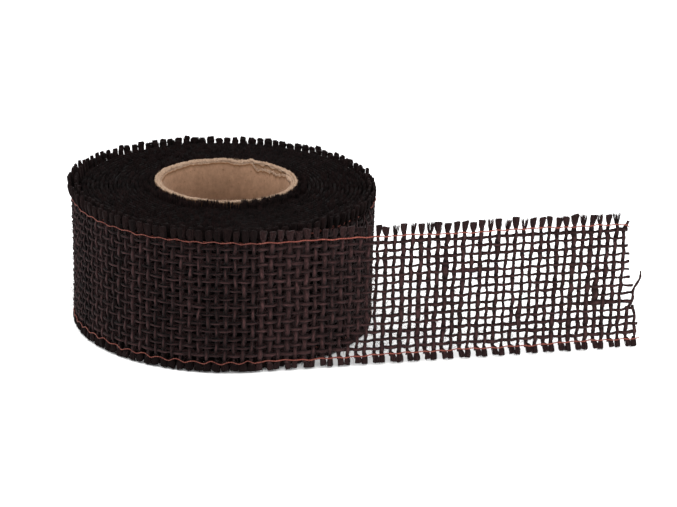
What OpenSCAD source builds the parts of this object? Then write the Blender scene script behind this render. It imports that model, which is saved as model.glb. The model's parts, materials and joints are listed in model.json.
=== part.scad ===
// Spool of woven burlap ribbon on a cardboard core.
// The core stands upright with its axis on +Z and its lower rim at z = 0.
// The ribbon's free end leaves the front of the roll and runs along +X.

/* [Core] */
// Outside diameter of the cardboard tube
core_od = 40; // [39.5:0.1:40.2]
// Diameter of the hole through the tube
core_bore = 36; // [34:0.5:37]
// Clearance between two paper plies of the tube wall
ply_gap = 0.02; // [0.01:0.01:0.05]

/* [Ribbon] */
// Width of the ribbon with its fringes, which is also the core's height
ribbon_w = 40; // [38:1:60]
// Distance between two upright yarns along the ribbon
weft_pitch = 2.43; // [2.43:0.01:2.43]
// Thickness of an upright yarn
weft_d = 0.8; // [0.6:0.05:0.85]
// Number of lengthwise yarns between the two edge threads
warp_count = 14; // [8:1:14]
// Thickness of a lengthwise yarn
warp_d = 0.5; // [0.4:0.05:0.5]
// Thickness of the stitched thread along each edge
stitch_d = 0.36; // [0.2:0.02:0.4]
// Height of the fringe above the upper edge thread
upper_fringe = 3; // [2:0.1:4]
// Height of the fringe below the lower edge thread
lower_fringe = 2.8; // [2:0.1:4]

/* [Winding] */
// Outside radius of the roll where the last turn lies tight
roll_r = 42.2; // [42:0.1:45]
// Distance that the last turn stands off by the time it leaves the roll
lift_off = 2.1; // [2:0.1:3]
// Number of turns under the last one
turns = 17; // [12:1:17]
// Thickness of the pressed ribbon in those turns
wound_t = 1.1; // [0.9:0.05:1.1]

/* [Free end] */
// Length of ribbon between two bending lines
bend_pitch = 24.3; // [24.3:2.43:29.16]
// Length of the free end that stays with the roll
root_l = 12.15; // [12.15:2.43:14.58]
// Number of full upright yarns left in the last stretch
last_wefts = 8; // [6:1:8]
// Number of short upright yarns past them, where the slanting cut leaves the lower edge longer
short_wefts = 2; // [0:1:2]
// Height of the short upright yarns
short_h = 12.5; // [8:0.5:12.5]
// Length of the lower edge past the last full upright yarn
cut_l = 6.6; // [6:0.1:7]
// Height at which the slanting cut has come back to the last full upright yarn
cut_h = 32; // [28:1:36]
// Length that the yarns stick out there
frayed_l = 0.8; // [0.5:0.1:1.2]

/* [Hidden] */
$fn = 96;
eps = 0.01;
bore_r = core_bore / 2;
core_r = core_od / 2;
ply_t = (core_r - bore_r) / 3;
cloth_t = weft_d + warp_d;
left_r = roll_r + lift_off / 2;
tail_y = -(roll_r + lift_off);
stitch_z = [lower_fringe, ribbon_w - upper_fringe];
warp_pitch = (stitch_z[1] - stitch_z[0]) / (warp_count + 1);
warp_z = [for (i = [1:warp_count]) stitch_z[0] + i * warp_pitch];
// The wound turns step out from the core to just inside the last turn
turn_r0 = core_r + 0.15 + wound_t;
turn_r1 = roll_r - cloth_t - 0.15;
turn_pitch = (turn_r1 - turn_r0) / (turns - 1);
// The roll's lower edge clears the table by this much, so that the core's rim carries it
edge_clear = 0.4;
// Each lengthwise yarn stops this short of a bending line
bend_gap = 0.4;
last_weft_x = root_l + 3 * bend_pitch + (last_wefts - 0.5) * weft_pitch;
// Radius that the loose yarn at the cut is bent to
loose_r = 20;

// One paper ply of the core, counted from the bore
module ply(n) {
    r_in = bore_r + n * ply_t + (n > 0 ? ply_gap : 0);
    difference() {
        cylinder(r = bore_r + (n + 1) * ply_t, h = ribbon_w);
        translate([0, 0, -1]) cylinder(r = r_in, h = ribbon_w + 2);
    }
}

// Half a ring of rectangular section, which begins at the angle "turn" and runs counter-clockwise
module half_ring(r_out, t, z, h, turn) {
    rotate([0, 0, turn]) rotate_extrude(angle = 180) translate([r_out - t, z]) square([t, h]);
}

// One full turn, as a right half and a wider left half whose centre is shifted by half a step
module wound_turn(r_out, step, t, z, h) {
    half_ring(r_out, t, z, h, -90);
    translate([0, -step / 2, 0]) half_ring(r_out + step / 2, t, z, h, 90);
}

// A band along the last turn and on along the root of the free end
module outer_band(t, z, h) {
    wound_turn(roll_r, lift_off, t, z, h);
    translate([0, tail_y, z]) cube([root_l - bend_gap, t, h]);
}

// A band along one stretch of the free end
module tail_band(x0, x1, t, z, h) {
    translate([x0, tail_y, z]) cube([x1 - x0, t, h]);
}

// Place of an upright yarn at the distance s from where the ribbon leaves the roll
function left_turn(s) = 270 + s / left_r * 180 / PI;
function right_turn(s) = 90 + (s + PI * left_r) / roll_r * 180 / PI;
function on_ring(r, a, y) = [r * cos(a), y + r * sin(a)];
function weft_place(s, depth) =
    s > 0 ? [s, tail_y + depth] :
    s > -PI * left_r ? on_ring(left_r - depth, left_turn(s), -lift_off / 2) :
    on_ring(roll_r - depth, right_turn(s), 0);

module weft(s, z0, z1) {
    p = weft_place(s, warp_d + weft_d / 2 + eps);
    translate([p[0], p[1], z0]) cylinder(d = weft_d, h = z1 - z0, $fn = 24);
}

module core_inner_ply() {
    color("#b0906f") ply(0);
}

module core_middle_ply() {
    color("#c9b199") ply(1);
}

module core_outer_ply() {
    color("#a98b6c") ply(2);
}

module inner_turns() {
    color("#1d1515")
    for (i = [0:turns - 1])
        wound_turn(turn_r0 + i * turn_pitch, turn_pitch, wound_t, edge_clear, ribbon_w - 2 * edge_clear);
}

module outer_turn_wefts() {
    color("#2b1e1e")
    for (s = [root_l - weft_pitch / 2:-weft_pitch:-PI * (left_r + roll_r) + weft_d])
        weft(s, edge_clear, ribbon_w);
}

module outer_turn_warps() {
    color("#332425")
    for (z = warp_z) outer_band(warp_d, z - warp_d / 2, warp_d);
}

module outer_turn_stitch(z) {
    color("#a35f3f") outer_band(stitch_d, z - stitch_d / 2, stitch_d);
}

// The stretches of the free end are counted from the roll, and the last one ends at the cut
module tail_wefts(n) {
    count = n < 4 ? round(bend_pitch / weft_pitch) : last_wefts;
    color("#3a2a2b") {
        for (i = [0:count - 1]) weft(root_l + (n - 1) * bend_pitch + (i + 0.5) * weft_pitch, 0, ribbon_w);
        if (n == 4 && short_wefts > 0)
            for (i = [1:short_wefts]) weft(last_weft_x + i * weft_pitch, 0, short_h);
    }
}

function cut_x(z) = last_weft_x + frayed_l + (cut_l - frayed_l) * max(0, 1 - z / cut_h);
function tail_start(n) = root_l + (n - 1) * bend_pitch + bend_gap;
function tail_end(n, z) = n < 4 ? root_l + n * bend_pitch - bend_gap : cut_x(z);

module tail_warps(n) {
    color("#403031")
    for (z = warp_z) tail_band(tail_start(n), tail_end(n, z), warp_d, z - warp_d / 2, warp_d);
}

module tail_stitch(n, z) {
    color("#a35f3f") tail_band(tail_start(n), tail_end(n, z), stitch_d, z - stitch_d / 2, stitch_d);
}

// The upper part of the first short upright yarn, which has come out of the cloth and leans out of the cut
module tail_4_loose_weft() {
    start_x = last_weft_x + weft_pitch + 0.2;
    start_z = short_h + 1.2;
    color("#3a2a2b")
    translate([start_x - loose_r * cos(31), tail_y + warp_d + weft_d / 2, start_z + loose_r * sin(31)])
    rotate([90, 0, 0])
    rotate([0, 0, -31]) rotate_extrude(angle = 28) translate([loose_r, 0]) circle(d = 0.6, $fn = 24);
}

core_inner_ply();
core_middle_ply();
core_outer_ply();
inner_turns();
outer_turn_wefts();
outer_turn_warps();
outer_turn_stitch(stitch_z[1]);  // outer_turn_upper_stitch
outer_turn_stitch(stitch_z[0]);  // outer_turn_lower_stitch
tail_wefts(1);  // tail_1_wefts
tail_warps(1);  // tail_1_warps
tail_stitch(1, stitch_z[1]);  // tail_1_upper_stitch
tail_stitch(1, stitch_z[0]);  // tail_1_lower_stitch
tail_wefts(2);  // tail_2_wefts
tail_warps(2);  // tail_2_warps
tail_stitch(2, stitch_z[1]);  // tail_2_upper_stitch
tail_stitch(2, stitch_z[0]);  // tail_2_lower_stitch
tail_wefts(3);  // tail_3_wefts
tail_warps(3);  // tail_3_warps
tail_stitch(3, stitch_z[1]);  // tail_3_upper_stitch
tail_stitch(3, stitch_z[0]);  // tail_3_lower_stitch
tail_wefts(4);  // tail_4_wefts
tail_warps(4);  // tail_4_warps
tail_stitch(4, stitch_z[1]);  // tail_4_upper_stitch
tail_stitch(4, stitch_z[0]);  // tail_4_lower_stitch
tail_4_loose_weft();
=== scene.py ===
"""Looks of the ribbon spool: a burlap ribbon's yarns, edge threads and fringes, and its cardboard core."""

import json
import math

import bpy
import numpy as np
from mathutils import Matrix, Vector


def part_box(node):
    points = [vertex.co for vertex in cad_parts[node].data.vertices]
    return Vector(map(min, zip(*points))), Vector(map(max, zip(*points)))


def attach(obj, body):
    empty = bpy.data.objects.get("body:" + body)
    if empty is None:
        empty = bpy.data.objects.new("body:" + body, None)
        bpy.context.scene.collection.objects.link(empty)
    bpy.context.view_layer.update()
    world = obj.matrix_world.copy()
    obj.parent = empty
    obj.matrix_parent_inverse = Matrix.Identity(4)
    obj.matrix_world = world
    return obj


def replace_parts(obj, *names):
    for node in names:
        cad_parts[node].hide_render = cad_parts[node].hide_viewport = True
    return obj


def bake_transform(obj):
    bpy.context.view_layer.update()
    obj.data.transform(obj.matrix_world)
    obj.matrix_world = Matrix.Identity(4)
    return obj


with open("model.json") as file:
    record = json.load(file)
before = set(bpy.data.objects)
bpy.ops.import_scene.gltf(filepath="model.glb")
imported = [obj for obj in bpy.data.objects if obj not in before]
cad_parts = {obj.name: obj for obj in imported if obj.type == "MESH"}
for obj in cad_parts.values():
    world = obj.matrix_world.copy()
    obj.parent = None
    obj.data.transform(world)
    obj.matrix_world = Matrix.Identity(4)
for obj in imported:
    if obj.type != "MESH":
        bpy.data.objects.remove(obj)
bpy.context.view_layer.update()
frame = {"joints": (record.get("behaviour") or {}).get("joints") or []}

MM = 0.001
rng = np.random.default_rng(40)

# ---------------------------------------------------------------- sizes, in millimetres


def box_mm(node):
    """(lowest corner, highest corner) of a CAD node."""
    low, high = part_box(node)
    return np.array(low) / MM, np.array(high) / MM


WARPS_LOW, WARPS_HIGH = box_mm("outer_turn_warps")
WEFTS_LOW, WEFTS_HIGH = box_mm("tail_1_wefts")
TURNS_LOW, TURNS_HIGH = box_mm("inner_turns")

WEFTS_PER_STRETCH = 10
WARPS = 14
WEFT_D = WEFTS_HIGH[1] - WEFTS_LOW[1]
WEFT_PITCH = (WEFTS_HIGH[0] - WEFTS_LOW[0] - WEFT_D) / (WEFTS_PER_STRETCH - 1)
STRETCH = WEFTS_PER_STRETCH * WEFT_PITCH
WIDTH = WEFTS_HIGH[2]
ROLL_R = WARPS_HIGH[1]
LEFT_R = -WARPS_LOW[0]
TAIL_Y = WARPS_LOW[1]
CLOTH_T = WEFTS_HIGH[1] - TAIL_Y
WARP_D = CLOTH_T - WEFT_D
WARP_Z = np.linspace(WARPS_LOW[2] + WARP_D / 2, WARPS_HIGH[2] - WARP_D / 2, WARPS)
LOWER_Z = WARP_Z[0] - (WARP_Z[1] - WARP_Z[0])
UPPER_Z = WARP_Z[-1] + (WARP_Z[1] - WARP_Z[0])
# The rows are spread a little wider than in the CAD, so that the outer ones come near the edge threads
WARP_Z = WARP_Z.mean() + (WARP_Z - WARP_Z.mean()) * 1.03
WARP_PITCH = WARP_Z[1] - WARP_Z[0]
CORE_R = box_mm("core_outer_ply")[1][0]
BORE_R = box_mm("core_inner_ply")[1][0] - (CORE_R - box_mm("core_middle_ply")[1][0])
TURN_PITCH = 2 * (-TURNS_LOW[0] - TURNS_HIGH[1])
# The wound turns are pressed thinner than the last one
WOUND_T = 1.1
TURNS = int((TURNS_HIGH[1] - CORE_R) / TURN_PITCH)
HINGES = [j["pos_m"][0] / MM for j in frame["joints"]]
# The woven part of each upright yarn runs on past both edge threads by this much
OVERHANG = 0.7
# At the cut the last yarns stand only this high
SHORT_WEFTS = 2
SHORT_H = 12.5
LAST_WEFT = box_mm("tail_4_wefts")[1][0] - WEFT_D / 2
LAST_FULL = LAST_WEFT - SHORT_WEFTS * WEFT_PITCH
CUT_HIGH = box_mm("tail_4_upper_stitch")[1][0]
CUT_LOW = box_mm("tail_4_lower_stitch")[1][0]
# The cut is upright above this height and slants below it
CUT_H = 32.0
# How far the outermost turn leans out at its top, at the back on the left
LEAN, LEAN_AT = 0.95, 160

# ---------------------------------------------------------------- the ribbon's own space
# s runs along the ribbon, 0 where it leaves the roll and negative inside it; z is the height; n is outward.

HALF_TURNS = [(LEFT_R, ROLL_R - LEFT_R, CLOTH_T), (ROLL_R, 0.0, CLOTH_T)]
for i in range(TURNS):
    r = TURNS_HIGH[1] - i * TURN_PITCH
    HALF_TURNS += [(r + TURN_PITCH / 2, -TURN_PITCH / 2, WOUND_T), (r, 0.0, WOUND_T)]
TURN_R = np.array([r - t / 2 for r, _, t in HALF_TURNS])
TURN_Y = np.array([y for _, y, _ in HALF_TURNS])
TURN_START = np.concatenate([[0.0], np.cumsum(math.pi * TURN_R)])


def ribbon_at(s):
    """(the ribbon's middle, its outward normal) in the plan view, for distances along the ribbon."""
    s = np.asarray(s, float)
    back = np.maximum(-s, 0)
    h = np.clip(np.searchsorted(TURN_START, back, side="right") - 1, 0, len(TURN_R) - 1)
    angle = np.where(h % 2 == 0, 1.5, 0.5) * math.pi - (back - TURN_START[h]) / TURN_R[h]
    normal = np.stack([np.cos(angle), np.sin(angle)], -1)
    middle = normal * TURN_R[h][..., None]
    middle[..., 1] += TURN_Y[h]
    free = s > 0
    middle[free] = np.stack([s[free], np.full(free.sum(), TAIL_Y + CLOTH_T / 2)], -1)
    normal[free] = (0, -1)
    return middle, normal


def bulge(angle, at, width):
    """1 at the angle "at", in degrees, fading to 0 over width."""
    off = (angle - math.radians(at) + math.pi) % (2 * math.pi) - math.pi
    return np.exp(-((off / math.radians(width)) ** 2))


def angle_of(vectors):
    """Directions round the core's axis, in radians."""
    return np.arctan2(vectors[..., 1], vectors[..., 0])


def place(s, z, n):
    """(points, outward normals) of places in the ribbon's own space."""
    s, z, n = np.broadcast_arrays(np.asarray(s, float), z, n)
    middle, normal = ribbon_at(s)
    radius = np.hypot(middle[..., 0], middle[..., 1])
    lean = bulge(angle_of(normal), LEAN_AT, 42) * (radius / LEFT_R) ** 6 * (s < 0)
    n = n + LEAN * lean * np.clip(z / WIDTH, 0, 1) ** 3
    points = np.concatenate([middle + normal * n[..., None], z[..., None]], -1)
    return points, np.concatenate([normal, np.zeros_like(points[..., :1])], -1)


def cut_at(z):
    """Where the slanting cut crosses the height z."""
    return CUT_HIGH + (CUT_LOW - CUT_HIGH) * np.clip((CUT_H - z) / (CUT_H - LOWER_Z), 0, None)


def wander(seeds, x, length):
    """A smooth random curve for each seed, about -1 to 1, with bends about length apart."""
    total = 0
    for k, part in enumerate((1.0, 0.6, 0.37)):
        turn = np.sin(seeds * (12.9898 + k)) * 43758.5453
        total = total + np.sin(2 * math.pi * (x / (length * part) + turn)) * part
    return total / 1.97


# ---------------------------------------------------------------- mesh building


class Batch:
    """Closed lofts that end up in one mesh. Points are in millimetres."""

    def __init__(self):
        self.points, self.quads, self.caps, self.fibre, self.tint = [], [], [], [], []
        self.count = 0

    def loft(self, points, fibre, tint, closed=False):
        """points is (lofts, rings, sides, 3); closed lofts are loops with no end caps."""
        m, n, k = points.shape[:3]
        index = self.count + np.arange(m * n * k).reshape(m, n, k)
        if closed:
            index = np.concatenate([index, index[:, :1]], 1)
        a, b = index[:, :-1], index[:, 1:]
        quads = np.stack([a, b, np.roll(b, -1, 2), np.roll(a, -1, 2)], -1)
        self.quads.append(quads.reshape(-1, 4))
        if not closed:
            self.caps.append((index[:, 0], index[:, -1, ::-1]))
        self.points.append(points.reshape(-1, 3))
        self.fibre.append(np.broadcast_to(fibre, points.shape).reshape(-1, 3))
        self.tint.append(np.broadcast_to(tint, points.shape[:3]).ravel())
        self.count += m * n * k

    def tubes(self, centre, out, wide, thick, sides, tint, rough=0.0, crest=0.0):
        """Tubes along centre, which is (tubes, rings, 3).

        wide is the half width across out, thick is the half thickness along out, and rough is the share by
        which the surface goes in and out. tint is one value for each tube or for each ring, and crest adds a
        painted highlight to it on the side towards out.
        """
        along = np.gradient(centre, axis=1)
        along /= np.linalg.norm(along, axis=-1, keepdims=True)
        side = np.cross(along, out)
        side /= np.linalg.norm(side, axis=-1, keepdims=True)
        up = np.cross(side, along)
        turn = np.arange(sides) * 2 * math.pi / sides
        shape = centre.shape[:2] + (sides,)
        uneven = 1 + rough * rng.uniform(-1, 1, shape)
        a = np.broadcast_to(wide, shape[:2])[..., None] * np.cos(turn) * uneven
        b = np.broadcast_to(thick, shape[:2])[..., None] * np.sin(turn) * uneven
        points = centre[:, :, None] + side[:, :, None] * a[..., None] + up[:, :, None] * b[..., None]
        steps = np.linalg.norm(np.diff(centre, axis=1, prepend=centre[:, :1]), axis=-1)
        run = np.cumsum(steps, 1) + rng.uniform(0, 900, (shape[0], 1))
        fibre = np.stack([np.broadcast_to(run[..., None], shape), a, b], -1)
        tint = np.asarray(tint, float)
        tint = tint[:, None] if tint.ndim == 1 else tint
        # Painted highlight: the tint is raised on the side of each tube that faces out
        crest = np.broadcast_to(crest, shape[:2])[..., None] * np.maximum(np.sin(turn), 0) ** 5
        self.loft(points, fibre, np.broadcast_to(tint, shape[:2])[..., None] + crest)

    def piece(self, name, material, slot):
        """One object of all the lofts. Its fibre and tint attributes are for the shaders."""
        quads = np.concatenate(self.quads)
        loops, sizes = [quads.ravel()], [np.full(len(quads), 4)]
        for pair in self.caps:
            for cap in pair:
                loops.append(cap.ravel())
                sizes.append(np.full(len(cap), cap.shape[1]))
        loops, sizes = np.concatenate(loops), np.concatenate(sizes)
        mesh = bpy.data.meshes.new(name)
        points = np.concatenate(self.points) * MM
        mesh.vertices.add(len(points))
        mesh.vertices.foreach_set("co", points.ravel())
        mesh.loops.add(len(loops))
        mesh.loops.foreach_set("vertex_index", loops.astype(np.int32))
        mesh.polygons.add(len(sizes))
        starts = np.concatenate([[0], np.cumsum(sizes)[:-1]])
        mesh.polygons.foreach_set("loop_start", starts.astype(np.int32))
        mesh.polygons.foreach_set("use_smooth", np.ones(len(sizes), bool))
        mesh.update(calc_edges=True)
        fibre = mesh.attributes.new("fibre", "FLOAT_VECTOR", "POINT")
        fibre.data.foreach_set("vector", np.concatenate(self.fibre).ravel().astype(np.float32))
        tint = mesh.attributes.new("tint", "FLOAT", "POINT")
        tint.data.foreach_set("value", np.concatenate(self.tint).astype(np.float32))
        mesh.materials.append(material)
        made = bpy.data.objects.new(name, mesh)
        bpy.context.scene.collection.objects.link(made)
        return made


# ---------------------------------------------------------------- materials


class Nodes:
    """A material with a Principled shader, and short calls that add nodes to it."""

    def __init__(self, name, roughness, **sockets):
        self.material = bpy.data.materials.new(name)
        self.material.use_nodes = True
        self.tree = self.material.node_tree
        self.shader = self.tree.nodes["Principled BSDF"]
        self.shader.inputs["Roughness"].default_value = roughness
        for socket, value in sockets.items():
            self.shader.inputs[socket.replace("_", " ")].default_value = value

    def add(self, kind, inputs=(), **settings):
        node = self.tree.nodes.new(kind)
        for key, value in settings.items():
            setattr(node, key, value)
        for key, value in dict(inputs).items():
            if isinstance(value, bpy.types.NodeSocket):
                self.tree.links.new(value, node.inputs[key])
            else:
                node.inputs[key].default_value = value
        return node

    def noise(self, vector, scale, detail=3.0, rough=0.6):
        inputs = {"Vector": vector, "Scale": scale, "Detail": detail, "Roughness": rough}
        return self.add("ShaderNodeTexNoise", inputs).outputs["Fac"]

    def scaled(self, vector, scale):
        return self.add("ShaderNodeMapping", {"Vector": vector, "Scale": scale}).outputs["Vector"]

    def ramp(self, value, *stops):
        node = self.add("ShaderNodeValToRGB", {"Fac": value})
        for i, (at, colour) in enumerate(stops):
            stop = node.color_ramp.elements[i] if i < 2 else node.color_ramp.elements.new(at)
            stop.position = at
            stop.color = (*colour, 1.0)
        return node.outputs["Color"]

    def mix(self, share, a, b, blend="MIX"):
        node = self.add("ShaderNodeMix", data_type="RGBA", blend_type=blend)
        sockets = {socket.name: socket for socket in node.inputs if socket.enabled}
        for key, value in (("Factor", share), ("A", a), ("B", b)):
            if isinstance(value, bpy.types.NodeSocket):
                self.tree.links.new(value, sockets[key])
            else:
                sockets[key].default_value = value if key == "Factor" else (*value, 1.0)
        return next(socket for socket in node.outputs if socket.enabled)

    def multiply(self, colour, *others):
        for other in others:
            colour = self.mix(1.0, colour, other, "MULTIPLY")
        return colour

    def sum(self, a, b, operation="ADD"):
        return self.add("ShaderNodeMath", {0: a, 1: b}, operation=operation).outputs[0]

    def attribute(self, name, output="Vector"):
        return self.add("ShaderNodeAttribute", attribute_name=name).outputs[output]

    def bump(self, height, strength, distance):
        inputs = {"Height": height, "Strength": strength, "Distance": distance * MM}
        node = self.add("ShaderNodeBump", inputs)
        self.tree.links.new(node.outputs["Normal"], self.shader.inputs["Normal"])

    def colour(self, socket):
        self.tree.links.new(socket, self.shader.inputs["Base Color"])


def yarn_material(name, deep, body, light, sheen):
    """Loosely spun jute, fibres along the yarn; the tint attribute holds its shade plus painted light and
    shade.
    """
    m = Nodes(name, 0.9, Sheen_Weight=sheen, Sheen_Roughness=0.5, Specular_IOR_Level=0.06)
    fibre = m.attribute("fibre")
    strands = m.noise(m.scaled(fibre, (0.9, 9.0, 9.0)), 1.0, 4.0, 0.65)
    patches = m.noise(m.scaled(fibre, (0.16, 0.5, 0.5)), 1.0, 2.0, 0.5)
    flecks = m.noise(m.scaled(fibre, (2.2, 14.0, 14.0)), 1.0, 2.0, 0.5)
    colour = m.ramp(strands, (0.30, deep), (0.72, light), (0.52, body))
    # The tint attribute mixes each yarn's own tone with painted light: highlights on the yarns' outer sides,
    # painted shade where they dip under, and lighter tints on the free end and the turn below
    tinted = m.mix(m.attribute("tint", "Fac"), (0.14, 0.13, 0.13), (2.5, 2.47, 2.47))
    shade = m.ramp(patches, (0.3, (0.7, 0.68, 0.68)), (0.7, (1.3, 1.27, 1.27)))
    m.colour(m.multiply(colour, tinted, shade))
    m.bump(m.sum(strands, m.sum(flecks, 0.5, "MULTIPLY")), 0.9, 0.12)
    return m.material


def thread_material():
    """Twisted copper-coloured sewing thread with a soft gloss."""
    m = Nodes("copper_thread", 0.6, Specular_IOR_Level=0.2)
    fibre = m.attribute("fibre")
    strands = m.noise(m.scaled(fibre, (1.6, 16.0, 16.0)), 1.0, 3.0)
    worn = m.noise(m.scaled(fibre, (0.2, 0.1, 0.1)), 1.0, 2.0)
    deep, body, light = (0.06, 0.012, 0.009), (0.135, 0.034, 0.025), (0.36, 0.17, 0.125)
    colour = m.ramp(strands, (0.3, deep), (0.74, light), (0.54, body))
    colour = m.mix(m.ramp(worn, (0.45, (0, 0, 0)), (0.7, (0.6, 0.6, 0.6))), colour, (0.05, 0.016, 0.013))
    tint = m.ramp(m.attribute("tint", "Fac"), (0.5, (0.5, 0.48, 0.46)), (1.0, (0.76, 0.66, 0.62)))
    m.colour(m.multiply(colour, (2, 2, 2), tint))
    m.bump(strands, 0.6, 0.06)
    return m.material


def paper_material(name, shade):
    """Grey-brown board with short fibres, streaks and specks, paler where torn, painted shade down the bore.
    """
    m = Nodes(name, 0.9, Specular_IOR_Level=0.2)
    place_of = m.add("ShaderNodeTexCoord").outputs["Object"]
    pulp = m.noise(m.scaled(place_of, (900, 900, 700)), 1.0, 5.0, 0.7)
    cloud = m.noise(m.scaled(place_of, (70, 70, 45)), 1.0, 3.0)
    streak = m.noise(m.scaled(place_of, (260, 260, 24)), 1.0, 3.0)
    specks = m.noise(m.scaled(place_of, (1500, 1500, 1500)), 1.0, 1.0)
    base = m.ramp(pulp, (0.3, tuple(c * 0.8 for c in shade)), (0.7, tuple(min(c * 1.14, 1) for c in shade)))
    tint = m.attribute("tint", "Fac")
    # Painted light and shade: the board is painted lighter near the top of the bore and darker lower down it
    height = m.add("ShaderNodeSeparateXYZ", {"Vector": place_of}).outputs["Z"]
    bore_heights = {"Value": height, "From Min": 0.6 * WIDTH * MM, "From Max": WIDTH * MM}
    depth = m.add("ShaderNodeMapRange", bore_heights).outputs["Result"]
    base = m.multiply(
        base,
        m.ramp(cloud, (0.3, (0.87, 0.86, 0.85)), (0.7, (1.08, 1.08, 1.08))),
        m.ramp(streak, (0.35, (0.93, 0.92, 0.91)), (0.6, (1.03, 1.03, 1.03))),
        m.ramp(specks, (0.24, (0.6, 0.55, 0.5)), (0.32, (1, 1, 1))),
        # Painted shade where the tint is low: on the plies' hidden outer faces and in a thin line under the
        # lip
        m.ramp(tint, (0.0, (0.5, 0.42, 0.34)), (0.38, (1, 1, 1))),
        m.ramp(depth, (0.0, (0.56, 0.5, 0.45)), (1.0, (1.2, 1.2, 1.2))),
    )
    torn = m.ramp(pulp, (0.25, tuple(c * 0.9 for c in shade)), (0.7, (0.3, 0.215, 0.155)))
    m.colour(m.mix(m.ramp(tint, (0.45, (0, 0, 0)), (0.95, (1, 1, 1))), base, torn))
    m.bump(m.sum(pulp, m.sum(streak, 0.4, "MULTIPLY")), 0.55, 0.12)
    return m.material


def floor_material():
    """Matt, almost white paper."""
    m = Nodes("pale_floor", 0.95, Specular_IOR_Level=0.0)
    place_of = m.add("ShaderNodeTexCoord").outputs["Object"]
    m.colour(m.ramp(m.noise(place_of, 3.0), (0.3, (0.90, 0.90, 0.90)), (0.7, (0.92, 0.92, 0.92))))
    return m.material


YARN = yarn_material(
    "burlap_yarn", sheen=0.035, deep=(0.004, 0.0017, 0.0017), body=(0.0142, 0.0069, 0.0069),
    light=(0.035, 0.0168, 0.0163)
)
# A darker copy of the same yarn for the packed turns and the roll's fringes: painted shade for the light lost
# between the dense ends
SHADED_PILE = yarn_material(
    "burlap_yarn_in_shade", sheen=0.005, deep=(0.0018, 0.0009, 0.0009), body=(0.0052, 0.0025, 0.0024),
    light=(0.0125, 0.0068, 0.0065)
)
THREAD = thread_material()
LINER = paper_material("liner_paper", (0.268, 0.16, 0.1))
BOARD = paper_material("core_board", (0.235, 0.145, 0.09))

# ---------------------------------------------------------------- yarns of the ribbon


def wefts_between(s_from, s_to, first=WEFT_PITCH / 2):
    """(indexes, distances) of the upright yarns in one length of ribbon."""
    low, high = (math.ceil((s - first) / WEFT_PITCH - 1e-6) for s in (s_from, min(s_to, LAST_WEFT + 1)))
    index = np.arange(low, high)
    return index, first + index * WEFT_PITCH


def uneven(index, spread):
    """A lasting random factor for each yarn, around 1."""
    return np.exp(spread * np.sin(index * 78.233) + spread * np.sin(index * 31.77 + 1))


# Thick places in the free end's yarns: distance along the ribbon, height, length, extra thickness
SLUBS_ALONG = [(60, 26.5, 5.0, 1.1), (52, 17.0, 4.0, 0.8), (78, 8.0, 6.0, 1.0), (98, 14.0, 5.0, 0.9)]
# The same in its upright yarns, which are given by their number from the roll
SLUBS_UP = [(39, 17, 4.5, 0.75), (21, 26, 3.5, 0.6), (30, 12, 3.0, 0.6), (27, 33, 3.0, 0.5)]
SLUBS_UP = [((yarn + 0.5) * WEFT_PITCH, height, length, more) for yarn, height, length, more in SLUBS_UP]
WEFT_THICK = 0.35
WARP_THICK = 0.27


def swell(s, z, slubs, along):
    """How much thicker the yarn is at s, z than usual."""
    extra = 0
    for at_s, at_z, length, more in slubs:
        d_s, d_z = (s - at_s) / (length if along else 1.0), (z - at_z) / (1.0 if along else length)
        extra = extra + more * np.exp(-(d_s**2) - d_z**2)
    return extra


def weft_yarns(batch, s_from, s_to, fine, first, shade, wide, crest):
    """The upright yarns. The last ones by the cut are short and lean. The top of the one before is bent."""
    index, s_mid = wefts_between(s_from, s_to, first)
    whole = s_mid < LAST_FULL + 1
    top = np.where(whole, UPPER_Z + OVERHANG, SHORT_H)[:, None]
    z = LOWER_Z - OVERHANG + np.linspace(0, 1, fine * (WARPS + 1) + 1) * (top - LOWER_Z + OVERHANG)
    seed = index[:, None] * 0.731 + 5.0
    s = s_mid[:, None] + 0.24 * wander(seed, z, 24) + 0.12 * wander(seed + 3, z, 6.5)
    s = s + np.where(s_mid > LAST_WEFT - 1, 0.13, 0.0)[:, None] * (SHORT_H / 2 - z)
    s = s + np.where(abs(s_mid - LAST_FULL) < 1, 0.11, 0.0)[:, None] * np.maximum(z - UPPER_Z + 3, 0) ** 1.5
    over = np.cos(math.pi * (z - WARP_Z[0]) / WARP_PITCH) * np.where(index % 2, -1, 1)[:, None]
    size = uneven(index, 0.13)[:, None] * (1 + 0.2 * wander(seed + 9, z, 9) + 0.08 * wander(seed + 6, z, 3))
    size = size + swell(s_mid[:, None], z, SLUBS_UP, False)
    for thread_z, pinch in ((UPPER_Z, 0.25), (LOWER_Z, 0.2)):
        size = size * (1 - pinch * np.exp(-(((z - thread_z) / 0.7) ** 2)))
    centre, out = place(s, z, 0.25 * over - 0.1)
    # Painted shade and highlight: the tint is a little lighter where a yarn passes over and darker where it
    # dips under, and glow is a painted highlight along the outer side of the over spans
    tint = shade + 0.12 * np.sin(index * 5.3)[:, None] + 0.05 * over + 0.1 * wander(seed + 4, z, 11)
    glow = crest * (0.5 + 0.5 * over) * (1 + 0.5 * wander(seed + 12, z, 7))
    sides = 10 if fine > 2 else 6
    batch.tubes(centre, out, wide * size, WEFT_THICK * np.minimum(size, 1.3), sides, tint, 0.13, glow)


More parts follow.
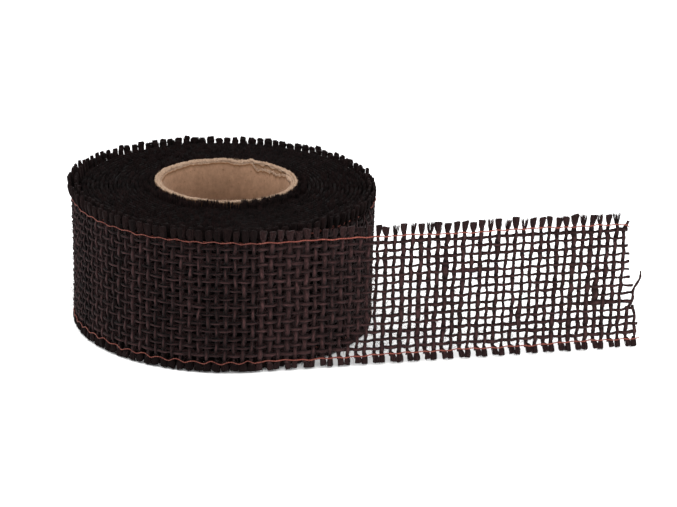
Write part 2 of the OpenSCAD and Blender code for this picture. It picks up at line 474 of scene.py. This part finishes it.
def warp_yarns(batch, s_from, s_to, fine, first, shade, wide, crest):
    """The lengthwise yarns, which end at the cut."""
    row = np.arange(WARPS)
    end = np.full(WARPS, s_to)
    if s_to > LAST_FULL:
        end = cut_at(WARP_Z) + 0.35 * np.sin(row * 7.7)
    steps = int(round((s_to - s_from) / WEFT_PITCH * fine))
    run = s_from + np.linspace(0, 1, steps + 1) * (end - s_from)[:, None]
    seed = row[:, None] * 1.37 + 40.0
    z = WARP_Z[:, None] + 0.2 * wander(seed, run, 31) + 0.09 * wander(seed + 2, run, 8)
    over = -np.cos(math.pi * (run - first) / WEFT_PITCH) * np.where(row % 2, -1, 1)[:, None]
    size = 1 + 0.22 * wander(seed + 7, run, 14) + 0.08 * wander(seed + 5, run, 4)
    size = uneven(row + 3, 0.1)[:, None] * size + swell(run, WARP_Z[:, None], SLUBS_ALONG, True)
    centre, out = place(run, z, 0.3 * over + 0.1)
    # Painted shade and highlight: the tint is a little lighter where a yarn passes over and darker where it
    # dips under, and glow is a painted highlight along the outer side of the over spans
    tint = shade + 0.12 * np.sin(row * 4.1 + 2)[:, None] + 0.05 * over + 0.1 * wander(seed + 4, run, 11)
    glow = crest * (0.45 + 0.35 * over) * (1 + 0.5 * wander(seed + 12, run, 9))
    sides = 8 if fine > 2 else 5
    batch.tubes(centre, out, wide * size, WARP_THICK * np.minimum(size, 1.4), sides, tint, 0.15, glow)


def cloth(name, s_from, s_to, fine=4, first=WEFT_PITCH / 2, shade=0.07, weft=0.46, warp=0.31, crest=0.82):
    """(the woven yarns of one length of ribbon, its flat size).

    fine is the number of rings from one crossing to the next. weft and warp are the yarns' half widths. shade
    sets the tint of the whole piece, and crest the strength of the painted highlight on the yarns' outer
    sides.
    """
    batch = Batch()
    weft_yarns(batch, s_from, s_to, fine, first, shade, weft, crest)
    warp_yarns(batch, s_from, s_to, fine, first, shade, warp, crest)
    return batch.piece(name, YARN, "dark_yarn"), (UPPER_Z - LOWER_Z + 2 * OVERHANG, s_to - s_from)


THREAD_TWIST = 1.3
# For the first 45 mm of the last turn, and in the turn below it, the thread is pressed in behind the yarns
PRESSED_IN = 45 - TURN_START[2]


def stitching(name, s_from, s_to, z_mid):
    """An edge thread of two twisted plies, zigzagging over the yarns. The upper one curls down at the cut."""
    batch = Batch()
    run = np.linspace(s_from, s_to, int(round((s_to - s_from) / WEFT_PITCH * 9)) + 1)[None]
    wave = math.pi * (run - WEFT_PITCH / 2) / WEFT_PITCH
    seed, low = np.array([[z_mid]]), z_mid < WIDTH / 2
    zigzag = np.where(run < 0, 0.36 if low else 0.2, 0.1) * (1 + 0.5 * wander(seed + 2, run, 9))
    up = zigzag * np.sin(wave) + 0.12 * wander(seed, run, 13) + 0.2 * wander(seed + 1, run, 47)
    up = up - 0.3 * np.maximum(run - LAST_FULL + 0.8, 0) ** 2 * (not low)
    behind = 0.9 * (run < PRESSED_IN)
    ply = np.where(run < 0, 0.088, 0.135)
    for half in (0, math.pi):
        twist = run * 2 * math.pi / THREAD_TWIST + half
        n = 0.57 + 0.13 * np.cos(wave) + 0.07 * np.cos(twist) - behind
        centre, out = place(run, z_mid + up + 0.07 * np.sin(twist), n)
        batch.tubes(centre, out, ply, ply, 6, np.clip(0.5 + run / 40, 0.5, 1), 0.06)
    return batch.piece(name, THREAD, "edge_thread")


# Half width and half depth of a yarn where its cut end starts to open
NECK_WIDE, NECK_DEEP = 0.38, 0.3


def brush(batch, s, root, tip, half, shift, fibres, thick, opening, solid=False, shade=0.0, dome=0.62):
    """Cut yarn ends that open from the height root to the height tip.

    half is (half width, half depth) at the tip, and shift is how far the tip moves along the ribbon and
    outward. A small opening widens the ends close to the root. The solid ones also get a dense middle, and
    dome is the share of its width that the top of this middle keeps.
    """
    count, shape = len(s), (len(s), fibres, 1)
    ends = [np.broadcast_to(value, (count,))[:, None, None] for value in (s, root, tip, *half, *shift)]
    s, root, tip, wide, deep, along, outward = ends
    rise = np.array([0.0, 0.4, 0.75, 1.0])
    opened = rise**opening
    angle, reach = rng.uniform(0, 2 * math.pi, shape), np.sqrt(rng.uniform(0.1, 1, shape))
    tips = tip + rng.normal(0, 0.16, shape)
    bend = rng.normal(0, 0.12, shape) * np.sin(math.pi * rise)
    across = reach * np.cos(angle) * (NECK_WIDE + (wide - NECK_WIDE) * opened)
    inout = reach * np.sin(angle) * (NECK_DEEP + (deep - NECK_DEEP) * opened)
    path_s = s + across + along * opened + bend
    centre, out = place(path_s, root + (tips - root) * rise, inout + outward * opened)
    centre, out = centre.reshape(-1, len(rise), 3), out.reshape(-1, len(rise), 3)
    tint = shade + np.repeat(rng.uniform(0, 0.5, count), fibres) + rng.uniform(0, 0.3, count * fibres)
    radius = thick * rng.uniform(0.7, 1.3, (count * fibres, 1)) * np.array([1.1, 1.1, 0.9, 0.3])
    batch.tubes(centre, out, radius, radius, 3, tint, 0.1)
    solid = np.broadcast_to(solid, (count,))
    if solid.any():
        brush_middles(batch, [value[solid, :, 0] for value in ends], opening, shade, dome)


def brush_middles(batch, ends, opening, shade, dome):
    """The dense middles of cut yarn ends, from the same values as their fibres."""
    s, root, tip, wide, deep, along, outward = ends
    rise = np.array([0.0, 0.3, 0.6, 0.85, 0.98])
    opened = rise**opening
    fat = np.array([0.95, 1.0, 1.0, 0.97, dome])
    ragged = rng.normal(0, 0.05, (len(s), len(rise)))
    centre, out = place(s + along * opened + ragged, root + (tip - root) * rise, outward * opened)
    half_wide = (NECK_WIDE + (wide * 0.93 - NECK_WIDE) * opened) * fat
    half_deep = (NECK_DEEP + (deep * 0.9 - NECK_DEEP) * opened) * fat
    batch.tubes(centre, out, half_wide, half_deep, 11, shade + rng.uniform(0, 0.3, len(s)), 0.16)


FRINGE_FIBRE = 0.075
FRINGE_DEEP = 0.5


def upper_ends(batch, index, s, rolled, fibres, shade):
    """The ends above the upper thread. At the back on the left they are long and stand outward."""
    n = len(s)
    _, facing = ribbon_at(s)
    flare = rolled * bulge(angle_of(facing), 165, 38)
    tall = WIDTH + 0.4 * rolled + 0.95 * flare + 0.2 * np.sin(index * 4.4)
    tall = tall + rng.normal(0, 0.22 if rolled else 0.14, n)
    wide = 1.15 - 0.28 * flare if rolled else 1.13 + 0.15 * np.sin(index * 5.1)
    wide = wide * uneven(index, 0.06) + rng.normal(0, 0.08, n)
    gather = (0.25 if rolled else 0.4) * np.sin(index * 2.1) * np.cos(index * 0.9) + rng.normal(0, 0.12, n)
    outward = (0.35 if rolled else 0.1) + 0.6 * flare + rng.normal(0, 0.16, n)
    solid = rolled | ((np.sin(index * 9.7) < 0.6) & (s < LAST_FULL - 3))
    opening, dome = (0.45, 0.66) if rolled else (0.8, 0.92)
    half, shift = (wide, FRINGE_DEEP), (gather, outward)
    brush(batch, s, UPPER_Z - 0.3, tall, half, shift, fibres, FRINGE_FIBRE, opening, solid, shade, dome)


def lower_ends(batch, index, s, rolled, fibres, shade):
    """The ends below the lower thread. On the free end they gather in pairs and lean towards the cut."""
    n = len(s)
    gather = np.where(index % 2, 1, -1) * (0.1 if rolled else 0.42)
    gather = gather + (0.1 if rolled else 0.75 * np.clip(s / 60, 0, 1)) + rng.normal(0, 0.09, n)
    low = 0.14 + 0.12 * np.sin(index * 3.1) + np.abs(rng.normal(0, 0.12, n))
    wide = (1.32 if rolled else 1.0) * uneven(index + 5, 0.05)
    half, shift = (wide, FRINGE_DEEP), (gather, 0.25 if rolled else 0.05)
    brush(batch, s, LOWER_Z + 0.4, low, half, shift, fibres, FRINGE_FIBRE, 0.5, True, shade, 0.9)


def fringes(name, s_from, s_to, first=WEFT_PITCH / 2, fibres=22, material=SHADED_PILE, shade=0.12):
    """Both fringes of one length of ribbon. The short yarns by the cut have no upper ends."""
    index, s = wefts_between(s_from, s_to, first)
    upper, lower, rolled = Batch(), Batch(), s_to <= 0
    whole = s < LAST_FULL - 1
    upper_ends(upper, index[whole], s[whole], rolled, fibres, shade)
    lower_ends(lower, index, s, rolled, fibres, shade)
    sides = {"upper": upper, "lower": lower}
    return [batch.piece(f"{name}_{side}_fringe", material, "dark_yarn") for side, batch in sides.items()]


HAIR = 0.036


def fuzz(name, s_from, s_to, per_mm, longest, stand):
    """Fine loose fibres that stand off the yarns, or that lie across the holes between them."""
    batch = Batch()
    count = int((s_to - s_from) * per_mm)
    t = np.linspace(0, 1, 5)[None]
    s0, z0 = rng.uniform(s_from, s_to, (count, 1)), rng.uniform(LOWER_Z, UPPER_Z, (count, 1))
    upright = rng.uniform(0, 1, (count, 1)) < 0.6
    on_weft = np.clip((np.floor(s0 / WEFT_PITCH) + 0.5) * WEFT_PITCH, s_from, s_to)
    on_warp = WARP_Z[np.clip(np.round((z0 - WARP_Z[0]) / WARP_PITCH), 0, WARPS - 1).astype(int)]
    s0, z0 = np.where(upright, on_weft, s0), np.where(upright, z0, on_warp)
    length = rng.gamma(3.0, longest / 5, (count, 1)).clip(0.3, longest * 1.6)
    heading = np.where(upright, math.pi / 2, 0) + rng.normal(0, 0.8, (count, 1))
    heading = heading + math.pi * rng.integers(0, 2, (count, 1))
    lift = stand * rng.gamma(2.0, 0.25, (count, 1)).clip(0, 1.3) * rng.choice([-0.35, 1.0], (count, 1))
    turned = heading + rng.normal(0, 0.7, (count, 1)) * length * t
    step = length / (t.size - 1)
    s = s0 + np.cumsum(np.cos(turned) * step, 1) - np.cos(turned[:, :1]) * step
    z = z0 + np.cumsum(np.sin(turned) * step, 1) - np.sin(turned[:, :1]) * step
    s = np.clip(s, s_from, s_to + (1.5 if s_to > LAST_FULL - 1 else 0))
    centre, out = place(s, np.clip(z, 0.3, WIDTH), 0.2 + lift * np.sin(t * 1.9) * np.minimum(length, 1.6))
    radius = HAIR * np.array([[1, 1, 0.9, 0.75, 0.4]])
    batch.tubes(centre, out, radius, radius, 3, rng.uniform(0.3, 0.8, count))
    return batch.piece(name, YARN, "dark_yarn")


# ---------------------------------------------------------------- the roll


def last_turn():
    """The last turn, whose yarns all show, and the turn that shows through it."""
    middle, outer_end, second_end = -TURN_START[1], -TURN_START[2], -TURN_START[4]
    left, left_flat = cloth("last_turn_left", middle, 0)
    right, right_flat = cloth("last_turn_right", outer_end, middle)
    shift = WEFT_PITCH * 0.1
    # The turn below gets a lighter tint than the last turn and no highlight: painted light that lifts the
    # holes between the last turn's yarns
    under, under_flat = cloth(
        "turn_below", second_end, outer_end, fine=2, first=shift, shade=0.45, weft=0.55, warp=0.45, crest=0.0
    )
    upper = stitching("last_turn_upper_stitch", outer_end, 0, UPPER_Z)
    lower = stitching("last_turn_lower_stitch", outer_end, 0, LOWER_Z)
    under_upper = stitching("turn_below_upper_stitch", second_end, outer_end, UPPER_Z - 1.0)
    brushes = fringes("last_turn", outer_end, 0, fibres=30, shade=0.18)
    under_brushes = fringes("turn_below", second_end, outer_end, shift)
    hairs = fuzz("last_turn_fuzz", outer_end, 0, per_mm=28, longest=2.4, stand=0.9)
    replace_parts(left, "outer_turn_wefts", "outer_turn_warps")
    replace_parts(right, "outer_turn_wefts", "outer_turn_warps")
    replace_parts(upper, "outer_turn_upper_stitch")
    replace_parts(lower, "outer_turn_lower_stitch")
    for piece in (left, right, under, upper, lower, under_upper, hairs, *brushes, *under_brushes):
        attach(piece, "roll")


STRIP_T = 0.68
STRIP_RELIEF = 0.1
STRIP_ROWS = 16
STRIP_LOW, STRIP_HIGH = LOWER_Z - 1.2, WIDTH - 0.75
# The paper rim stands above the ribbon's edge
RIM = WIDTH + 0.5
PILE_FIBRE = 0.09
PILE_OPENING = 0.7


def wound_strip(start, end):
    """The cloth of all the turns below the last two: one long strip with a woven relief."""
    batch = Batch()
    run = np.linspace(end, start, 1500)[:, None]
    rows = np.linspace(STRIP_LOW, STRIP_HIGH, STRIP_ROWS)[None]
    weave = STRIP_RELIEF * np.cos(math.pi * (run / WEFT_PITCH)) * np.where(np.arange(STRIP_ROWS) % 2, -1, 1)
    front, _ = place(run, rows, STRIP_T / 2 + weave)
    back, _ = place(run, rows, -STRIP_T / 2 + weave)
    ring = np.concatenate([front[:, ::-1], back], 1)[None]
    fibre = np.stack(np.broadcast_arrays(run, ring[0, :, :, 2], 0.0), -1)[None]
    batch.loft(ring, fibre, 0.1)
    return batch.piece("wound_turns", SHADED_PILE, "dark_yarn")


def wound_turns():
    """All the turns below, and the brush of yarn ends on their two edges."""
    start, end = -TURN_START[4], 1 - TURN_START[-1]
    strip = wound_strip(start, end)
    s = np.arange(end + WEFT_PITCH / 2, start, WEFT_PITCH)
    s = s + 0.5 * wander(np.array(3.0), s, 31)
    brushes = []
    for part in range(3):
        at = s[part::3]
        n = len(at)
        bumpy = 0.3 * wander(np.array(8.0), at, 53) + rng.normal(0, 0.16, n)
        shift = rng.normal(0, 0.35, n), rng.normal(0, 0.28, n)
        for side, root, tip, fibres in (
            ("upper", UPPER_Z - 0.5, WIDTH - 0.05 + bumpy, 18),
            ("lower", LOWER_Z + 0.4, 0.45 + np.abs(bumpy) * 0.4, 9),
        ):
            batch = Batch()
            brush(batch, at, root, tip, (1.0, 0.62), shift, fibres, PILE_FIBRE, PILE_OPENING)
            brushes.append(batch.piece(f"wound_turns_{side}_fringe_{part + 1}", SHADED_PILE, "dark_yarn"))
    brushes.append(first_turn_fringe(end))
    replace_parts(strip, "inner_turns")
    for piece in (strip, *brushes):
        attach(piece, "roll")


def first_turn_fringe(end):
    """The two turns next to the core, whose ends stand up along it and lean over its rim in front."""
    batch = Batch()
    one_turn = 2 * math.pi * (CORE_R + 1)
    s = np.arange(end, end - 1 + 2 * one_turn, 0.85)
    spot, _ = ribbon_at(s)
    front = bulge(angle_of(spot), -100, 80)
    n = len(s)
    tall = RIM - 0.25 + 0.85 * front + rng.normal(0, 0.3, n)
    inward = -0.2 - 0.7 * front * (s < end - 1 + one_turn) + rng.normal(0, 0.2, n)
    shift = rng.normal(0, 0.3, n), inward
    brush(batch, s, UPPER_Z - 0.5, tall, (0.9, 0.45), shift, 25, PILE_FIBRE, PILE_OPENING)
    return batch.piece("first_turn_upper_fringe", SHADED_PILE, "dark_yarn")


# ---------------------------------------------------------------- the core

PLY = (CORE_R - BORE_R) / 3
GAP = 0.03
# The paper's tint, from painted shade (hidden outer faces, the line under the lip) through plain to torn
PAINTED_SHADE, HALF, PLAIN, TORN = 0.0, 0.25, 0.4, 1.0


def rough_edge(angle, seed, size):
    """Heights of a torn edge round the core, about -size to size."""
    seeds = np.full_like(angle, seed)
    arc = angle * CORE_R
    coarse = wander(seeds, arc, 11.4) + 0.55 * wander(seeds + 1, arc, 2.6)
    return size * (coarse + 0.5 * wander(seeds + 2, arc, 0.9) + 0.4 * wander(seeds + 3, arc, 0.4))


def ply(name, node, r_in, r_out, rim, lip, hang, flare, material):
    """One paper ply, as a loft around the core.

    rim(angle) is the height of its torn edge. There, lip(angle) sticks into the bore and hangs down by
    hang(angle), and flare(angle) stands out over the ribbon.
    """
    around = np.linspace(0, 2 * math.pi, 1081)[:-1]
    top, burr, drop, out = rim(around), lip(around), hang(around), flare(around)
    # The outer faces, hidden under the next ply or the ribbon, carry painted shade up to just under the
    # flared edge
    stations = [(r_out, z * (top - 0.7), PAINTED_SHADE) for z in np.linspace(0, 1, 12)]
    stations += [(r_out + out * 0.4, top - 0.4, PAINTED_SHADE), (r_out + out, top - 0.14, TORN)]
    stations += [(r_out + out * 0.7, top, TORN)]
    for share in (0.2, 0.5, 0.8):
        stations.append((r_out + (r_in - r_out) * share - burr * share**3, top + 0.05, TORN))
    stations += [(r_in - burr * 0.9, top - 0.1, TORN), (r_in - burr, top - drop * 0.55, TORN)]
    # Just under the lip, a thin ring of painted shadow
    stations += [(r_in - burr * 0.8, top - drop, TORN), (r_in - 0.02, top - drop - 0.04, PAINTED_SHADE)]
    stations += [(r_in, top - drop - 0.35, PAINTED_SHADE), (r_in, top - drop - 0.8, HALF)]
    stations += [(r_in, z * (top - drop - 1.4), PLAIN) for z in np.linspace(1, 0, 20)]
    ring = np.empty((len(around), len(stations), 3))
    tint = np.empty(ring.shape[:2])
    for k, (radius, height, shade) in enumerate(stations):
        loose = 0.085 * (shade == TORN) * rng.normal(0, 1, (2, len(around)))
        radius = radius + loose[0]
        ring[:, k] = np.stack([radius * np.cos(around), radius * np.sin(around), height + loose[1]], -1)
        tint[:, k] = shade
    batch = Batch()
    batch.loft(ring[None], ring[None], tint[None], closed=True)
    made = batch.piece(name, material, "paperboard")
    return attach(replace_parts(made, node), "roll")


def core():
    """Three plies. At the back on the right the inner one is torn down, and the middle one shows above it."""
    torn_off = lambda a: bulge(a, 31, 18)
    split = lambda a: bulge(a, -2, 11)
    swollen = lambda a: 0.25 * bulge(a, 100, 50)
    dip = lambda a: 0.45 * bulge(a, 70, 6) - 0.45 * bulge(a, 57, 3)
    dents = lambda a: bulge(a, 45, 3) + bulge(a, 34, 2.5) + 0.6 * bulge(a, 24, 3)
    tear = lambda a: (1.7 + rough_edge(a, 20, 0.4)) * torn_off(a) + 1.2 * bulge(a, 49, 4)
    ply("core_liner", "core_inner_ply", BORE_R, BORE_R + PLY - GAP,
        rim=lambda a: RIM - 0.1 + rough_edge(a, 1, 0.1) - tear(a) - dip(a),
        lip=lambda a: rough_edge(a, 4, 0.12) - 0.45 + 0.4 * torn_off(a) + 0.95 * split(a) + swollen(a),
        hang=lambda a: 0.55 - 0.2 * torn_off(a) + rough_edge(a, 7, 0.2),
        flare=lambda a: -0.15 * torn_off(a) - 0.6 * split(a), material=LINER)
    ply("core_middle_board", "core_middle_ply", BORE_R + PLY, BORE_R + 2 * PLY - GAP,
        rim=lambda a: RIM + rough_edge(a, 10, 0.11) - dip(a) - 0.35 * split(a),
        lip=lambda a: 0.02 + torn_off(a) * (0.2 + rough_edge(a, 13, 0.16)) - 0.55 * dents(a),
        hang=lambda a: 0.4 - 0.15 * torn_off(a) + rough_edge(a, 23, 0.1) + 0.5 * dents(a),
        flare=lambda a: 0.0 * a, material=BOARD)
    ply("core_outer_wrap", "core_outer_ply", BORE_R + 2 * PLY, CORE_R,
        rim=lambda a: RIM + 0.05 + rough_edge(a, 16, 0.13) - dip(a),
        lip=lambda a: 0.02 + 0.0 * a, hang=lambda a: 0.4 + 0.0 * a,
        flare=lambda a: -0.15 + np.abs(rough_edge(a, 19, 0.3)) * (0.5 + 0.7 * bulge(a, 190, 60)),
        material=BOARD)
    lint()


def lint():
    """Paper fibres torn loose along the rim."""
    batch = Batch()
    count = 700
    angle = rng.uniform(0, 2 * math.pi, (count, 1))
    radius = rng.choice([BORE_R - 0.2, CORE_R], (count, 1), p=[0.35, 0.65]) + rng.normal(0, 0.2, (count, 1))
    t = np.linspace(0, 1, 4)[None]
    length = rng.uniform(0.25, 0.75, (count, 1))
    heading = rng.uniform(0, 2 * math.pi, (count, 1)) + rng.normal(0, 1, (count, 1)) * t
    out = radius + length * np.cos(heading) * t
    angle = angle + length * np.sin(heading) * t / radius
    z = RIM - 0.1 + length * rng.uniform(-0.3, 0.5, (count, 1)) * t
    centre = np.stack([out * np.cos(angle), out * np.sin(angle), z], -1)
    up = np.broadcast_to(np.array([0.0, 0.0, 1.0]) + 1e-3, centre.shape)
    batch.tubes(centre, up, 0.04 * (1.1 - t), 0.035 * (1.1 - t), 3, [1.0])
    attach(batch.piece("core_rim_lint", BOARD, "paperboard"), "roll")


# ---------------------------------------------------------------- the free end

STRETCHES = len(HINGES)


def free_end():
    """The free end, cut midway between the hinges into one length for each hinge."""
    for n in range(1, STRETCHES + 1):
        last = n == STRETCHES
        s_from, s_to = (n - 1) * STRETCH, LAST_WEFT + 1 if last else n * STRETCH
        name = f"free_end_{n}"
        # The free end's yarns get a lighter tint than the roll's and a strong highlight on their outer sides:
        # painted light for the light that comes through the open weave. Its fringes use the lighter yarn
        # material for the same reason.
        weave, flat = cloth(name, s_from, s_to, shade=0.3, weft=0.57, warp=0.43, crest=0.85)
        upper = stitching(name + "_upper_stitch", s_from, cut_at(UPPER_Z) + 0.3 if last else s_to, UPPER_Z)
        lower = stitching(name + "_lower_stitch", s_from, cut_at(LOWER_Z) + 0.3 if last else s_to, LOWER_Z)
        brushes = fringes(name, s_from, s_to, fibres=40, material=YARN, shade=0.22)
        hairs = fuzz(name + "_fuzz", s_from, min(s_to, LAST_FULL), per_mm=125, longest=2.2, stand=0.45)
        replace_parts(weave, f"tail_{n}_wefts", f"tail_{n}_warps")
        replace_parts(upper, f"tail_{n}_upper_stitch")
        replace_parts(lower, f"tail_{n}_lower_stitch")
        for piece in (weave, upper, lower, hairs, *brushes):
            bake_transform(piece)


def loose_weft():
    """The upper part of the first short yarn, which has come out of the cloth and curls out of the cut."""
    low, high = box_mm("tail_4_loose_weft")
    t = np.linspace(0, 1, 34)
    s = low[0] + 0.3 + (high[0] - low[0] - 0.6) * (t + 0.16 * np.sin(t * 9.5))
    z = SHORT_H - 0.2 + (high[2] - SHORT_H) * t
    centre, out = place(s, z, 0.15 + 0.5 * np.sin(t * 3.0))
    batch = Batch()
    wide = 0.43 * (1 - 0.4 * t**3) * (1 + 0.14 * np.sin(t * 31))
    # Painted highlight: 0.3 raises the tint on the side that faces out
    batch.tubes(centre[None], out[None], wide[None], wide[None] * 0.85, 8, [0.4], 0.16, 0.3)
    made = batch.piece("loose_weft", YARN, "dark_yarn")
    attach(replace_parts(made, "tail_4_loose_weft"), "tail_4")


# ---------------------------------------------------------------- room, light and camera


def room():
    """A pale floor just under the ribbon, and even white light from all around."""
    mesh = bpy.data.meshes.new("floor")
    size = 4.0
    corners = [(-size, -size, 0), (size, -size, 0), (size, size, 0), (-size, size, 0)]
    mesh.from_pydata(corners, [], [(0, 1, 2, 3)])
    mesh.materials.append(floor_material())
    floor = bpy.data.objects.new("floor", mesh)
    floor.location.z = -0.0003
    bpy.context.scene.collection.objects.link(floor)
    world = bpy.data.worlds.new("studio")
    world.use_nodes = True
    sky = world.node_tree.nodes["Background"]
    sky.inputs["Color"].default_value = (1.0, 1.0, 1.0, 1.0)
    sky.inputs["Strength"].default_value = 1.4
    bpy.context.scene.world = world
    bpy.context.scene.view_settings.view_transform = "Standard"


def soft_light(name, azimuth, height, strength, spread):
    """A very wide lamp far away, given by the angles it shines from, in degrees."""
    data = bpy.data.lights.new(name, "SUN")
    data.energy = strength
    data.angle = math.radians(spread)
    lamp = bpy.data.objects.new(name, data)
    lamp.rotation_euler = (math.radians(90 - height), 0, math.radians(azimuth + 90))
    bpy.context.scene.collection.objects.link(lamp)


def camera():
    """A long lens in front and a little to the left, 20 degrees above the table."""
    data = bpy.data.cameras.new("camera")
    data.lens = 127.5
    data.sensor_width = 36
    eye = bpy.data.objects.new("camera", data)
    heading, down, tilt = math.radians(14.406), math.radians(19.644), math.radians(1.835)
    pose = Matrix.Translation((-0.12864, -0.63023, 0.24883))
    for angle, axis in ((-heading, "Z"), (math.pi / 2 - down, "X"), (tilt, "Z")):
        pose = pose @ Matrix.Rotation(angle, 4, axis)
    eye.matrix_world = pose
    data.clip_start, data.clip_end = 0.01, 20
    bpy.context.scene.collection.objects.link(eye)
    bpy.context.scene.camera = eye


room()
soft_light("left_softbox", 172, 42, 1.4, 60)
soft_light("right_softbox", -15, 42, 1.2, 60)
soft_light("front_light", -108, 56, 0.9, 60)
camera()
core()
wound_turns()
last_turn()
free_end()
loose_weft()
